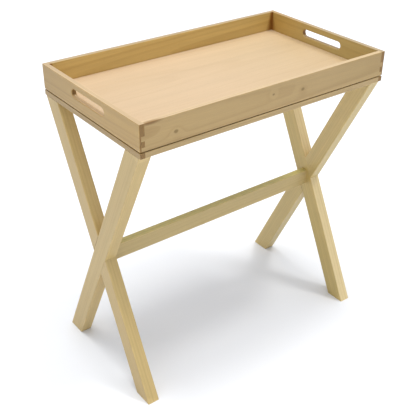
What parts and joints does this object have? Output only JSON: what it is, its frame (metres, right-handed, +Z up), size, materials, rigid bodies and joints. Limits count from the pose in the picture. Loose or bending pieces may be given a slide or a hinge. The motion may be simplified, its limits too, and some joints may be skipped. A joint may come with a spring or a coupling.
{
  "type": "tray table",
  "caption": "Wooden tray table: an oblong finger-jointed tray with hand slots lifts off a fixed stand of crossed, halved legs tied by a stretcher.",
  "frame": {"origin": "on the floor under the middle of the table", "axes": "+Z up, X along the length of the tray, Y across its width, with -Y the front"},
  "size_m": [0.64, 0.37, 0.69],
  "materials": {
    "tray_sides": "clear satin lacquer",
    "tray_floor": "clear satin lacquer on veneered ply",
    "stand_wood": "clear satin lacquer",
    "cleat_wood": "sanded, unfinished",
    "dowels": "plain beech dowel",
    "screws": "zinc plated"
  },
  "bodies": {
    "stand": {"rim_front": "stand_wood", "rim_back": "stand_wood", "rim_left": "stand_wood", "rim_right": "stand_wood", "cleat_front": "cleat_wood", "cleat_back": "cleat_wood", "cleat_left": "cleat_wood", "cleat_right": "cleat_wood", "left_leg_front": "stand_wood", "left_leg_back": "stand_wood", "right_leg_front": "stand_wood", "right_leg_back": "stand_wood", "stretcher": "stand_wood", "stretcher_dowels": "dowels", "leg_top_screws": "screws", "cleat_screws": "screws"},
    "tray": {"tray_base_panel": "tray_floor", "tray_side_front": "tray_sides", "tray_side_back": "tray_sides", "tray_end_left": "tray_sides", "tray_end_right": "tray_sides"}
  },
  "joints": [
    {"name": "tray_lift", "type": "slide", "parent": "stand", "child": "tray", "axis": [0, 0, 1], "range_m": [0, 0.15]}
  ]
}
